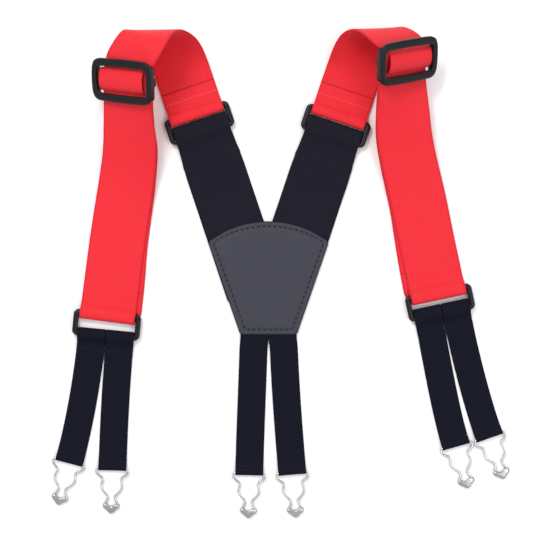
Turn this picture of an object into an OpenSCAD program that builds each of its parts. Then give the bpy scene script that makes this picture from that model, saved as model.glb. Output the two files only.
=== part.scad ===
// Work braces with a Y-shaped back, laid out on a table. Webbing goes over each shoulder, elastic
// joins the two straps under a patch, and six wire clips hang on narrow elastic legs.
// Millimetres, +Z up. The origin is the centre of the patch's underside, on the table.

/* [Webbing and elastic] */
// Width of the shoulder webbing
webbing_w = 50; // [48:0.5:50.5]
// Thickness of the shoulder webbing
webbing_t = 1.5; // [1.2:0.1:1.5]
// Width of the back elastic
elastic_w = 53.8; // [52:0.2:55]
// Thickness of the back elastic
elastic_t = 1.4; // [1.2:0.1:1.4]
// Width of each elastic leg
leg_w = 25.2; // [24:0.2:25.2]
// Thickness of each elastic leg
leg_t = 1.2; // [1:0.1:1.2]

/* [Rings] */
// Length of a ring along its bars
ring_l = 60.8; // [60.6:0.2:63]
// Depth of a ring across its bars
ring_d = 24.4; // [24.4:0.2:26]
// Diameter of a ring's bars
ring_bar_d = 4.8; // [4.4:0.1:4.8]
// Width of a ring's sides
ring_side_w = 4.6; // [4:0.1:4.6]
// Height of a ring's sides
ring_h = 5; // [4:0.2:5.4]
// Radius of a ring's outer corners
ring_corner = 4.5; // [3:0.5:4.5]

/* [Adjusters] */
// Length of an adjuster along its bars
adjuster_l = 61; // [60.2:0.2:63]
// Depth of an adjuster along the strap
adjuster_d = 37.5; // [37:0.5:40]
// Width of the frame's top and bottom bars
adjuster_bar_w = 7; // [6:0.5:7.5]
// Width of an adjuster's sides
adjuster_side_w = 4.6; // [4:0.1:4.7]
// Thickness of the frame
adjuster_h = 4.2; // [3:0.2:5]
// Radius of the frame's outer corners
adjuster_corner = 8; // [6:0.5:9]
// Diameter of the hidden centre bar
centre_bar_d = 3; // [2.8:0.1:3.2]

/* [Clips] */
// Diameter of the clip wire
wire_d = 2; // [1.8:0.1:2]
// Thickness of the clip tab's sheet metal
tab_t = 0.6; // [0.5:0.1:0.8]
// Angle by which a clip droops so that its tab rests on the table
clip_droop = 1; // [0.8:0.1:1]

/* [Patch] */
// Half of the patch's width at its top corners
patch_half_top = 54; // [53:0.5:55]
// Half of the patch's width at its bottom corners
patch_half_bottom = 25; // [25:0.5:29]
// Height of the top corners above the origin
patch_shoulder_y = 32.5; // [31:0.5:34]
// Height of the top arc's crown above the origin
patch_crown_y = 50.5; // [50:0.5:52]
// Distance of the bottom edge below the origin
patch_drop = 50.6; // [50:0.2:52]
// Radius of the patch's corners
patch_corner = 4; // [3:0.5:5]
// Thickness of the patch's outer layer
patch_t = 1.4; // [1.2:0.1:1.8]
// Thickness of the patch's lining
lining_t = 1.2; // [1:0.1:1.2]

/* [Hidden] */
$fn = 48;

left = 0;
right = 1;
play = 0.2;          // clearance between a bar and the strap looped round it
layer_gap = 0.1;     // gap between layers that lie on each other
body_gap = 0.3;      // gap between pieces that move apart
ring_bar_r = ring_bar_d / 2;
ring_bar_y = ring_d / 2 - ring_bar_r - 0.1;
ring_bar_z = webbing_t + play + ring_bar_r;
ring_window = ring_l - 2 * ring_side_w;
wire_r = wire_d / 2;
clip_bar_z = leg_t + play + wire_r;
slot_z = lining_t;   // underside of the strap ends between the patch's two layers
slot_t = 1.4;

// Plan places are in outward coordinates: x is the distance from the centre line on either side.
// A strap's turn is how far it swings outward as it runs down the braces.
back_ring_at = [[62, 139.2], [60.3, 136.6]];
back_turn = -18.5;
front_ring_at = [[145.2, -41.9], [153.9, -22]];
front_ring_turn = [5.5, 12];
run_turn = [7.4, 12];
front_fold_slack = [3.3, 3.6];
leg_fold_slack = [1.9, 5];
return_shift = 4.5;  // how far the return layer drifts inward above the front fold

// Leg ends: [x, y] of the clip's bar and the turn of the leg there
back_leg_end = [[17.3, -175.3, 1.2], [21.3, -174.8, 4.8]];
outer_leg_end = [[179, -164.6, 14.5], [198.3, -142, 19]];
inner_leg_end = [[140.4, -171, 1.7], [168.3, -149.8, 16]];

// Each shoulder wraps a cylinder that leans inward: crest of the wrap, its radius, its lean and its
// turn in plan, how far the strap runs off square to it at either end, and the angles it is drawn at
crest_at = [[96.8, 217.4, 30], [93.8, 218.8, 29]];
wrap_r = [25, 21];
wrap_lean = 24;
wrap_turn = 4.3;
up_lift = [46, 5.2, -6];   // on the way up: distance from the ring's bar, height, lean
wrap_skew = [22, 4];
wrap_span = [[45, 70, 95, 120, 145], [45, 70, 95, 120]];

// Incline under each adjuster: centre, pitch, and the lean of the strap's width
adjuster_at = [[123.7, 172.3, 38.5], [117.6, 190.8, 39]];
run_pitch = [18, 23];
run_lean = [[9.8, -29], [15, -31]];

// From the incline down to the table: [x, y, z, azimuth and elevation of the width]
foot_stations = [
    [[123.2, 133, 24, 9, -18], [123, 115, 16.5, 9, -11], [125.6, 96, 9, 9, -7],
     [129.2, 74, 4.4, 8.5, -2], [133.2, 50, 2.7, 7.4, 0]],
    [[118.4, 150, 24.5, 12, -13], [120.4, 128, 17, 13, -5], [125.2, 106, 10, 13, -3],
     [130.4, 87, 5, 12.5, -2], [136.2, 63, 2.8, 12, 0]]];

function unit(v) = v / norm(v);
function mix(a, b, k) = a + (b - a) * k;
function ease(k) = k * k * (3 - 2 * k);
function down(turn) = [sin(turn), -cos(turn), 0];
function across(turn) = [cos(turn), sin(turn), 0];
function place(p) = [p[0], p[1], p[2]];
function flip(list) = [for (i = [len(list) - 1:-1:0]) list[i]];

// Smooth curve through rows of numbers, from the first row drawn to the last, with a number of steps
// between two rows. The rows outside only steer its ends, and start moves its first point forward.
function curve_at(p, i, k) =
    let (a = p[max(i - 1, 0)], b = p[i], c = p[i + 1], d = p[min(i + 2, len(p) - 1)])
    0.5 * (2 * b + (c - a) * k + (2 * a - 5 * b + 4 * c - d) * k * k
        + (3 * b - a - 3 * c + d) * k * k * k);
function curve(p, steps, first, last, start = 0) =
    concat([curve_at(p, first, start)],
        [for (i = [first:last - 1], j = [i == first ? 1 : 0:steps - 1]) curve_at(p, i, j / steps)],
        [p[last]]);

// Solid through a list of closed sections
module skin(sections) {
    n = len(sections[0]);
    rings = len(sections);
    polyhedron(
        points = [for (s = sections) each s],
        faces = concat(
            [[for (i = [n - 1:-1:0]) i]],
            [for (k = [0:rings - 2], i = [0:n - 1])
                [k * n + i, k * n + (i + 1) % n, k * n + n + (i + 1) % n, k * n + n + i]],
            [[for (i = [0:n - 1]) (rings - 1) * n + i]]));
}

// Flat strap along a route of rows: place, direction of the width, width
function row(p, azimuth, elevation, width) =
    [p[0], p[1], p[2], cos(azimuth) * cos(elevation), sin(azimuth) * cos(elevation),
     sin(elevation), width];
function heading(route, i) =
    unit(place(route[min(i + 1, len(route) - 1)]) - place(route[max(i - 1, 0)]));
function side_dir(route, i) =
    let (t = heading(route, i), w = [route[i][3], route[i][4], route[i][5]]) unit(w - (w * t) * t);
module ribbon(route, thickness) {
    skin([for (i = [0:len(route) - 1])
        let (c = place(route[i]), w = side_dir(route, i), n = cross(w, heading(route, i)),
            a = w * route[i][6] / 2, b = n * thickness / 2)
        [c - a - b, c + a - b, c + a + b, c - a + b]]);
}

// Rows of a strap that stays in one upright plane: section holds [distance, height]
function lay(at, dir, section, azimuth, width) =
    [for (p = section) row([at[0] + dir[0] * p[0], at[1] + dir[1] * p[0], p[1]], azimuth, 0, width)];
function ramp(s0, s1, z0, z1, steps) =
    [for (i = [0:steps]) [mix(s0, s1, i / steps), mix(z0, z1, ease(i / steps))]];

// Section of a loop round a bar, from its top run round the tip to its bottom run
function loop_r(bar_r, t) = bar_r + play + t / 2;
function loop(bar_r, bar_z, t, slack) =
    [for (i = [0:8])
        [-slack - loop_r(bar_r, t) * sin(i * 22.5), bar_z + loop_r(bar_r, t) * cos(i * 22.5)]];

// Everything is drawn on the right and mirrored for the left
module on(side) {
    if (side == left) mirror([1, 0, 0]) children();
    else children();
}

// ---- Patch ----
// Arc of a corner at b between a and c
function corner(a, b, c, r, steps) =
    let (u = unit(a - b), v = unit(c - b), half = acos(u * v) / 2,
        m = b + unit(u + v) * r / sin(half),
        p = b + u * r / tan(half), q = b + v * r / tan(half),
        start = atan2(p[1] - m[1], p[0] - m[0]),
        turn = (atan2(q[1] - m[1], q[0] - m[0]) - start + 540) % 360 - 180)
    [for (i = [0:steps]) m + r * [cos(start + turn * i / steps), sin(start + turn * i / steps)]];

function patch_outline(grow) =
    let (top = patch_half_top + grow, bottom = patch_half_bottom + grow,
        shoulder = patch_shoulder_y, crown = patch_crown_y + grow, base = -patch_drop - grow,
        rise = crown - shoulder, r = (top * top + rise * rise) / (2 * rise),
        sweep = asin(top / r),
        arch = [for (i = [-5:5]) [r * sin(i * sweep / 6), crown - r + r * cos(i * sweep / 6)]],
        tr = [top, shoulder], tl = [-top, shoulder], br = [bottom, base], bl = [-bottom, base])
    concat(corner(bl, br, tr, patch_corner, 6), corner(br, tr, arch[10], patch_corner, 6),
        flip(arch), corner(arch[0], tl, bl, patch_corner, 6), corner(tl, bl, br, patch_corner, 6));

module patch_outer() {
    color("#42434f")
    translate([0, 0, slot_z + slot_t])
        linear_extrude(patch_t) polygon(patch_outline(0));
}

module patch_lining() {
    color("#2c2d36")
    linear_extrude(lining_t) polygon(patch_outline(0.6));
}

// ---- Rings ----
module rounded_plate(l, d, r, h) {
    translate([-l / 2 + r, -d / 2, 0]) cube([l - 2 * r, d, h]);
    translate([-l / 2, -d / 2 + r, 0]) cube([l, d - 2 * r, h]);
    for (x = [-1, 1], y = [-1, 1])
        translate([x * (l / 2 - r), y * (d / 2 - r), 0]) cylinder(r = r, h = h);
}

// Ring with two round bars, its centre at the origin and its bars along X
module ring() {
    difference() {
        translate([0, 0, -ring_h / 2]) rounded_plate(ring_l, ring_d, ring_corner, ring_h);
        translate([-ring_window / 2, -ring_d, -ring_h]) cube([ring_window, 2 * ring_d, 2 * ring_h]);
    }
    for (y = [-1, 1])
        translate([-ring_window / 2 - 1, y * ring_bar_y, 0])
            rotate([0, 90, 0]) cylinder(r = ring_bar_r, h = ring_window + 2);
}

module back_ring(side) {
    color("#30323c")
    on(side) translate([back_ring_at[side][0], back_ring_at[side][1], ring_bar_z]) rotate(back_turn) ring();
}

module front_ring(side) {
    color("#30323c")
    on(side) translate([front_ring_at[side][0], front_ring_at[side][1], ring_bar_z])
        rotate(front_ring_turn[side]) ring();
}

// ---- Back elastic ----
// Flap under the ring's lower bar, round it, down to the patch and in between its two layers
module back_elastic(side) {
    bar = back_ring_at[side] + ring_bar_y * [sin(back_turn), -cos(back_turn)];
    narrow = ring_window - 1;
    loop_z = loop_r(ring_bar_r, elastic_t);
    slack = 8.8;
    flap = 26;
    rest = elastic_t + 2 * layer_gap + elastic_t / 2;
    near = concat([[12, ring_bar_z - loop_z], [3, ring_bar_z - loop_z]],
        flip(loop(ring_bar_r, ring_bar_z, elastic_t, slack)),
        ramp(0.5, 10, ring_bar_z + loop_z, rest, 6));
    far = concat([[14, rest], [flap + 1, rest]],
        ramp(flap + 3, flap + 9, rest, elastic_t / 2, 4),
        ramp(74, 84, elastic_t / 2, slot_z + slot_t / 2, 4), [[160, slot_z + slot_t / 2]]);
    color("#20202a")
    on(side) intersection() {
        ribbon(concat(
            lay(bar, down(back_turn), [[flap, ring_bar_z - loop_z]], back_turn, elastic_w),
            lay(bar, down(back_turn), near, back_turn, narrow),
            lay(bar, down(back_turn), far, back_turn, elastic_w)), elastic_t);
        translate([body_gap / 2, -5, -1]) cube([120, 200, 20]);
    }
}

// ---- Shoulder webbing ----
function run_dir(side) = [0, -cos(run_pitch[side]), -sin(run_pitch[side])];
function on_run(side, s) =
    row(adjuster_at[side] + run_dir(side) * s, run_lean[side][0], run_lean[side][1], webbing_w);
hand_over = 0.32;    // share of the first step past the wrap at which the front webbing begins
run_top = -12;       // where the straight incline begins, above the adjuster's centre
frame_gap = [2, 3.8]; // clearance between the strap and the adjuster's frame, which rides over the crest

// The strap at an angle round the wrap, from 0 underneath to 180 on top
function wrapped(side, angle) =
    let (r = wrap_r[side], skew = mix(wrap_skew[0], wrap_skew[1], angle / 180),
        plan = across(wrap_turn), ahead = -down(wrap_turn),
        axis = cos(wrap_lean) * plan - [0, 0, sin(wrap_lean)],
        up = sin(wrap_lean) * plan + [0, 0, cos(wrap_lean)],
        around = cos(angle) * ahead + sin(angle) * up,
        along = r * tan(skew) * (angle - 90) * PI / 180)
    concat(crest_at[side] + axis * along + r * (sin(angle) - 1) * ahead - r * cos(angle) * up,
        cos(skew) * axis - sin(skew) * around, [webbing_w]);

// Sewn flap on top, round the back ring's upper bar, under itself and up to the top of the shoulder
module shoulder_webbing(side) {
    bar = back_ring_at[side] - ring_bar_y * [sin(back_turn), -cos(back_turn)];
    up = -down(back_turn);
    loop_z = loop_r(ring_bar_r, webbing_t);
    fold_slack = 2.1;
    flap_z = webbing_t * 1.5 + 1.5 * layer_gap;
    fold = concat([[23.4, flap_z], [16, flap_z]], ramp(9, 0.5, flap_z, ring_bar_z + loop_z, 6),
        loop(ring_bar_r, ring_bar_z, webbing_t, fold_slack), [[6, webbing_t / 2], [15, webbing_t / 2]]);
    flat = lay(bar, up, [[19, webbing_t / 2], [26, webbing_t / 2 + 0.8]], back_turn, webbing_w);
    lift = bar + up_lift[0] * [up[0], up[1]];
    over = concat(flat, [row([lift[0], lift[1], up_lift[1]], back_turn, up_lift[2], webbing_w)],
        [for (angle = wrap_span[side]) wrapped(side, angle)], [on_run(side, run_top)]);
    color("#e0263a")
    on(side) ribbon(concat(lay(bar, up, fold, back_turn, webbing_w),
        curve(over, 5, 0, len(over) - 2)), webbing_t);
}

// ---- Front webbing ----
function front_bar(side) =
    front_ring_at[side] - ring_bar_y * [sin(front_ring_turn[side]), -cos(front_ring_turn[side])];
function flat_run(side, s, z) =
    row([front_bar(side)[0] - s * sin(run_turn[side]), front_bar(side)[1] + s * cos(run_turn[side]), z],
        run_turn[side], 0, webbing_w);
fold_l = 22;         // length of the front fold above the ring's bar
fold_straight = 8;   // straight stretch of both layers above the fold
tail_l = 21;         // length of the adjuster's tail below its centre bar, and of the straight incline
table_z = webbing_t / 2 + layer_gap;
front_z = 1.5 * webbing_t + 2 * layer_gap;

// From the top of the shoulder straight down the incline, then flat on the return layer to the fold
module front_webbing(side) {
    angles = wrap_span[side];
    n = len(angles);
    over = [wrapped(side, angles[n - 2]), wrapped(side, angles[n - 1]), on_run(side, run_top),
        on_run(side, 0)];
    lower = concat([on_run(side, 0), on_run(side, tail_l)],
        [for (f = foot_stations[side]) row(f, f[3], f[4], webbing_w)],
        [flat_run(side, 60, front_z), flat_run(side, fold_l + fold_straight, front_z)]);
    color("#e8303f")
    on(side) ribbon(concat(curve(over, 3, 1, 2, hand_over), [on_run(side, run_top + 3)],
        curve(lower, 4, 1, len(lower) - 1), [flat_run(side, fold_l + layer_gap, front_z)]), webbing_t);
}

// Down over the ring's bar, round it and back up underneath
module front_fold(side) {
    loop_z = loop_r(ring_bar_r, webbing_t);
    section = concat([[fold_l, front_z]], ramp(9.6, 1, front_z, ring_bar_z + loop_z, 6),
        loop(ring_bar_r, ring_bar_z, webbing_t, front_fold_slack[side]), [[4, table_z], [fold_l, table_z]]);
    color("#e8303f")
    on(side) ribbon(lay(front_bar(side), -down(run_turn[side]), section, run_turn[side], webbing_w), webbing_t);
}

// ---- Return webbing and the adjuster's tail ----
centre_bar_r = centre_bar_d / 2;
centre_bar_z = -(webbing_t / 2 + body_gap + webbing_t + play + centre_bar_r);
tail_top_z = centre_bar_z + loop_r(centre_bar_r, webbing_t);
tail_low_z = tail_top_z - webbing_t - layer_gap;

// The adjuster's own frame: X along its bars, Y up the strap, Z out of the strap's face
function run_side(side) =
    let (t = run_dir(side), r = on_run(side, 0), w = [r[3], r[4], r[5]]) unit(w - (w * t) * t);
function run_face(side) = cross(run_side(side), -run_dir(side));
module at_adjuster(side) {
    x = run_side(side);
    y = -run_dir(side);
    z = run_face(side);
    p = adjuster_at[side];
    on(side) multmatrix([[x[0], y[0], z[0], p[0]], [x[1], y[1], z[1], p[1]], [x[2], y[2], z[2], p[2]]])
        children();
}
function below_run(side, s, depth) =
    on_run(side, s) + concat(run_face(side) * depth, [0, 0, 0, 0]);

// Back up from the front fold, under the front webbing, to the adjuster's sewn tail
module return_webbing(side) {
    inward = -across(run_turn[side]) * return_shift;
    // the steeper the strap, the more the height between its layers exceeds the gap between them
    function drop(i) = webbing_t + layer_gap + 0.6 * (4 - i);
    function shifted(r, k) = r + concat(k * inward, [0, 0, 0, 0]);
    rows = concat(
        [below_run(side, 0, tail_low_z), below_run(side, tail_l + 4, tail_low_z)],
        [for (i = [0:4]) let (f = foot_stations[side][i])
            shifted(row(f, f[3], f[4], webbing_w) - [0, 0, drop(i), 0, 0, 0, 0], i * 0.15)],
        [shifted(flat_run(side, 60, table_z), 1), flat_run(side, fold_l + fold_straight, table_z)]);
    color("#c81e30")
    on(side) ribbon(concat([below_run(side, tail_l + body_gap, tail_low_z)],
        curve(rows, 4, 1, len(rows) - 1), [flat_run(side, fold_l + layer_gap, table_z)]), webbing_t);
}

// Webbing's end, sewn round the centre bar
module adjuster_tail(side) {
    loop_z = loop_r(centre_bar_r, webbing_t);
    tip = [for (i = [0:8]) [loop_z * sin(i * 22.5), centre_bar_z + loop_z * cos(i * 22.5)]];
    section = concat([[-tail_l, tail_top_z], [-tail_l / 2, tail_top_z]], tip,
        [[-3, centre_bar_z - loop_z]],
        ramp(-4, -13, centre_bar_z - loop_z, tail_low_z, 5), [[-tail_l, tail_low_z]]);
    color("#c81e30")
    at_adjuster(side) ribbon([for (p = section) row([0, p[0], p[1]], 0, 0, webbing_w)], webbing_t);
}

// ---- Adjusters ----
module adjuster(side) {
    window_l = adjuster_l - 2 * adjuster_side_w;
    window_d = adjuster_d - 2 * adjuster_bar_w;
    base = webbing_t / 2 + frame_gap[side];
    frame_shift = 1;
    cheek_d = 15;
    cheek_z = centre_bar_z - centre_bar_r - 0.3;
    color("#282c38")
    at_adjuster(side) {
        difference() {
            translate([frame_shift, 0, base])
                rounded_plate(adjuster_l, adjuster_d, adjuster_corner, adjuster_h);
            translate([frame_shift, 0, base - 1]) rounded_plate(window_l, window_d, 4, adjuster_h + 2);
        }
        for (x = [-1, 1])
            translate([x * (window_l + adjuster_side_w) / 2 - adjuster_side_w / 2, -cheek_d / 2, cheek_z])
                cube([adjuster_side_w, cheek_d, base + 1 - cheek_z]);
        translate([-window_l / 2 - 1, 0, centre_bar_z])
            rotate([0, 90, 0]) cylinder(r = centre_bar_r, h = window_l + 2);
    }
}

// ---- Legs ----
// Height of a leg's upper run: over a ring's bar, down on its own flap, then on the table
leg_loop_z = loop_r(ring_bar_r, leg_t);
clip_loop_z = loop_r(wire_r, leg_t);
leg_z = leg_t / 2 + layer_gap / 2;
on_flap = 1.5 * leg_t + 2 * layer_gap;
ring_flap = 19;
clip_flap = 9;

// Smooth plan curve from a to b that leaves along one turn and arrives along the other
function sway(a, b, turn_a, turn_b, k) =
    let (l = norm(b - a), h = k * k * (3 - 2 * k))
    a * (1 - h) + b * h + l * k * (1 - k) * ((1 - k) * [sin(turn_a), -cos(turn_a)]
        - k * [sin(turn_b), -cos(turn_b)]);
function sway_turn(a, b, turn_a, turn_b, k) =
    let (v = sway(a, b, turn_a, turn_b, min(k + 0.01, 1)) - sway(a, b, turn_a, turn_b, max(k - 0.01, 0)))
    atan2(v[0], -v[1]);

// The leg's lower end: over the clip's bar, round it and back under itself
function clip_end(end) =
    let (turn = end[2], dir = down(turn))
    concat(lay(end, dir, concat([[-clip_flap + 1, on_flap]], ramp(-7, -0.5, on_flap, clip_bar_z + clip_loop_z, 5)),
            turn, leg_w),
        lay(end, -dir, concat(loop(wire_r, clip_bar_z, leg_t, 0), [[clip_flap, leg_z]]), turn, leg_w));

function leg_middle(a, b, turn_a, turn_b, from_s, from_z, steps) =
    let (l = norm(b - a))
    [for (i = [0:steps])
        let (s = mix(from_s, l - clip_flap - 6, i / steps), k = s / l,
            p = sway(a, b, turn_a, turn_b, k))
        row([p[0], p[1], i == 0 ? from_z : leg_z], sway_turn(a, b, turn_a, turn_b, k), 0, leg_w)];

// Front leg: flap under the ring's lower bar, round it, down the table and round the clip's bar
module front_leg(side, end, offset) {
    turn = front_ring_turn[side];
    bar = front_ring_at[side] + ring_bar_y * [sin(turn), -cos(turn)]
        + offset * [cos(turn), sin(turn)];
    b = [end[0], end[1]];
    near = concat([[ring_flap, leg_z], [8, leg_z], [3, ring_bar_z - leg_loop_z]],
        flip(loop(ring_bar_r, ring_bar_z, leg_t, leg_fold_slack[side])),
        ramp(0.5, 9, ring_bar_z + leg_loop_z, on_flap, 6), [[ring_flap, on_flap]]);
    color("#1e2030")
    on(side) ribbon(concat(lay(bar, down(turn), near, turn, leg_w),
        leg_middle(bar, b, turn, end[2], ring_flap + 5, leg_z, 12),
        clip_end(end)), leg_t);
}

// Back leg: from between the patch's layers down to the clip
module back_leg(side) {
    end = back_leg_end[side];
    a = [leg_w / 2 + body_gap, -12];
    b = [end[0], end[1]];
    start = row([a[0], a[1], slot_z + slot_t / 2], 0, 0, leg_w);
    edge = row([a[0], -54, slot_z + slot_t / 2], 0, 0, leg_w);
    color("#1e2030")
    on(side) ribbon(concat([start, edge], leg_middle(a, b, 0, end[2], 52, leg_z, 12), clip_end(end)),
        leg_t);
}

leg_side = leg_w / 2 + 0.2;
module outer_leg(side) { front_leg(side, outer_leg_end[side], leg_side); }
module inner_leg(side) { front_leg(side, inner_leg_end[side], -leg_side); }

// ---- Clips ----
// Half of the wire's outline below its crossbar: [distance from the centre line, distance below the bar]
wire_corner = 2.5;
wire_half = 14.3;
wire_shape = [[wire_half, 2.5], [14, 4.6], [11.6, 6.8], [8.9, 8.6], [8.3, 11.2], [9.2, 14.4],
    [9, 18], [6.8, 21.4], [4, 24.2], [3.2, 26.2], [3.9, 28.8], [5.6, 31.6], [6.5, 33.6],
    [5.6, 34.8], [3, 35.4], [0, 36.4]];

function wire_route() =
    let (bend = [for (i = [0:3]) [wire_half - wire_corner + wire_corner * sin(i * 22.5),
            wire_corner - wire_corner * cos(i * 22.5)]],
        half = concat(bend, curve(wire_shape, 2, 0, len(wire_shape) - 1)))
    concat([[wire_half - wire_corner - 0.5, 0]], half,
        [for (i = [len(half) - 2:-1:0]) [-half[i][0], half[i][1]]],
        [[-wire_half + wire_corner + 0.5, 0]]);

module clip_wire() {
    route = wire_route();
    last = len(route) - 1;
    sides = 8;
    skin([for (i = [0:last])
        let (t = unit(route[min(i + 1, last)] - route[max(i - 1, 0)]))
        [for (k = [0:sides - 1])
            let (a = 360 * k / sides, r = wire_r * cos(a))
            [route[i][0] - t[1] * r, -route[i][1] - t[0] * r, wire_r * sin(a)]]]);
    translate([-wire_half + wire_corner, 0, 0]) rotate([0, 90, 0])
        cylinder(r = wire_r, h = 2 * (wire_half - wire_corner));
}

// Sheet folded up over the wire's foot, open towards the bar
module clip_tab() {
    inside = wire_r + 0.05;
    tip_r = 3.4;
    tip_y = -37.3;
    outline = concat([[-7.3, -32], [-4.4, -32], [0, -34.4], [4.4, -32], [7.3, -32], [7.3, -35.2], [6.2, -36.4]],
        [for (i = [0:8]) [tip_r * cos(-20 - i * 17.5), tip_y + tip_r * sin(-20 - i * 17.5)]],
        [[-6.2, -36.4], [-7.3, -35.2]]);
    difference() {
        translate([0, 0, -inside - tab_t]) linear_extrude(2 * (inside + tab_t)) polygon(outline);
        translate([-10, -37.6, -inside]) cube([20, 10, 2 * inside]);
    }
}

module at_clip(side, end) {
    on(side) translate([end[0], end[1], clip_bar_z]) rotate(end[2]) rotate([clip_droop, 0, 0]) children();
}
module wire_on(side, end) { color("#c8cacf") at_clip(side, end) clip_wire(); }
module tab_on(side, end) { color("#b4b6bb") at_clip(side, end) clip_tab(); }

patch_outer();
patch_lining();
back_elastic(left);  // left_back_elastic
back_elastic(right);  // right_back_elastic
back_leg(left);  // left_back_leg
back_leg(right);  // right_back_leg
back_ring(left);  // left_back_ring
back_ring(right);  // right_back_ring
shoulder_webbing(left);  // left_shoulder_webbing
shoulder_webbing(right);  // right_shoulder_webbing
front_webbing(left);  // left_front_webbing
front_webbing(right);  // right_front_webbing
return_webbing(left);  // left_return_webbing
return_webbing(right);  // right_return_webbing
front_fold(left);  // left_front_fold
front_fold(right);  // right_front_fold
adjuster(left);  // left_adjuster
adjuster(right);  // right_adjuster
adjuster_tail(left);  // left_adjuster_tail
adjuster_tail(right);  // right_adjuster_tail
front_ring(left);  // left_front_ring
front_ring(right);  // right_front_ring
outer_leg(left);  // left_outer_leg
outer_leg(right);  // right_outer_leg
inner_leg(left);  // left_inner_leg
inner_leg(right);  // right_inner_leg
wire_on(left, back_leg_end[left]);  // left_back_clip_wire
wire_on(right, back_leg_end[right]);  // right_back_clip_wire
tab_on(left, back_leg_end[left]);  // left_back_clip_tab
tab_on(right, back_leg_end[right]);  // right_back_clip_tab
wire_on(left, outer_leg_end[left]);  // left_outer_clip_wire
wire_on(right, outer_leg_end[right]);  // right_outer_clip_wire
tab_on(left, outer_leg_end[left]);  // left_outer_clip_tab
tab_on(right, outer_leg_end[right]);  // right_outer_clip_tab
wire_on(left, inner_leg_end[left]);  // left_inner_clip_wire
wire_on(right, inner_leg_end[right]);  // right_inner_clip_wire
tab_on(left, inner_leg_end[left]);  // left_inner_clip_tab
tab_on(right, inner_leg_end[right]);  // right_inner_clip_tab
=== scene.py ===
import bpy
import math
import numpy as np
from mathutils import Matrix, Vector


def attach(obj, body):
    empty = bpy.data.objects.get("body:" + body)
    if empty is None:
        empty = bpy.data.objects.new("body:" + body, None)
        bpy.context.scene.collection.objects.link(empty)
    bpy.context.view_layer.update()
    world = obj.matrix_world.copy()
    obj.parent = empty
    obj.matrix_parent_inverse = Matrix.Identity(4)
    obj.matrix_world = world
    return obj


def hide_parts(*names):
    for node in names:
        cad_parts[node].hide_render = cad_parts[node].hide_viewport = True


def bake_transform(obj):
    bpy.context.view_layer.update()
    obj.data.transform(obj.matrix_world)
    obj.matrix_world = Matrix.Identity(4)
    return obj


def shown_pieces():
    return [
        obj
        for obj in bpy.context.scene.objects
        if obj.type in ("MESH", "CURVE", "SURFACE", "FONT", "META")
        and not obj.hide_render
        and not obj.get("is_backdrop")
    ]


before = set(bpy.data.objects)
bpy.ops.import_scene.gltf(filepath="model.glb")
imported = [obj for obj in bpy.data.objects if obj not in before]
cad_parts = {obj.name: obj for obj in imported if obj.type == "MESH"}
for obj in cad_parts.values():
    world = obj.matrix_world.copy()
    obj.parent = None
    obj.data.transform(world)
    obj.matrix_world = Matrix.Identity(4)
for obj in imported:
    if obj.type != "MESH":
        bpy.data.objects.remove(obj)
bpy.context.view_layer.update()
mm = 0.001

# ---- camera, lights and table ----
stage = {"camera": (-1.8, 10.35, 1200), "seen": 480, "sky": 0.86, "keyPower": 13.5, "keySize": 0.55,
         "table": 0.95}


def setStage():
    scene = bpy.context.scene
    cam = bpy.data.cameras.new("camera")
    cam.sensor_fit = "AUTO"
    cam.angle = 2 * math.atan(stage["seen"] / 2 / stage["camera"][2])
    camera = bpy.data.objects.new("camera", cam)
    camera.location = Vector(stage["camera"]) * mm
    scene.collection.objects.link(camera)
    scene.camera = camera
    scene.view_settings.view_transform = "Standard"
    world = scene.world or bpy.data.worlds.new("studio")
    scene.world = world
    world.use_nodes = True
    world.node_tree.nodes["Background"].inputs["Color"].default_value = (1, 1, 1, 1)
    world.node_tree.nodes["Background"].inputs["Strength"].default_value = stage["sky"]
    for name, place, power, size in (
            ("key", (-0.5, 0.9, 1.5), stage["keyPower"], stage["keySize"]),
            ("fill", (0.9, -0.3, 1.6), stage["keyPower"] * 0.45, stage["keySize"] * 1.3)):
        lamp = bpy.data.lights.new(name, "AREA")
        lamp.shape = "DISK"
        lamp.size = size
        lamp.energy = power
        light = bpy.data.objects.new(name, lamp)
        light.location = place
        light.rotation_euler = (-Vector(place)).to_track_quat("-Z", "Y").to_euler()
        scene.collection.objects.link(light)
    bpy.ops.mesh.primitive_plane_add(size=6, location=(0, 0, -0.0004))
    table = bpy.context.object
    table.name = "table"
    table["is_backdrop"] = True
    return table


# ---- materials ----
class Value:  # a shader value that takes part in Python expressions
    def __init__(self, finish, socket):
        self.finish, self.socket = finish, socket

    def math(self, operation, *others, swap=False):
        terms = [self, *others]
        if swap:
            terms.reverse()
        return self.finish.node("ShaderNodeMath", {"operation": operation}, dict(enumerate(terms)))

    def __add__(self, o): return self.math("ADD", o)
    def __radd__(self, o): return self.math("ADD", o, swap=True)
    def __sub__(self, o): return self.math("SUBTRACT", o)
    def __rsub__(self, o): return self.math("SUBTRACT", o, swap=True)
    def __mul__(self, o): return self.math("MULTIPLY", o)
    def __rmul__(self, o): return self.math("MULTIPLY", o, swap=True)
    def sin(self): return self.math("SINE")
    def abs(self): return self.math("ABSOLUTE")

    def step(self, low, high):  # 0 below low, 1 above high, smooth between
        return self.finish.node("ShaderNodeMapRange", {"interpolation_type": "SMOOTHSTEP"},
                                {"Value": self, "From Min": low, "From Max": high})


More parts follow.
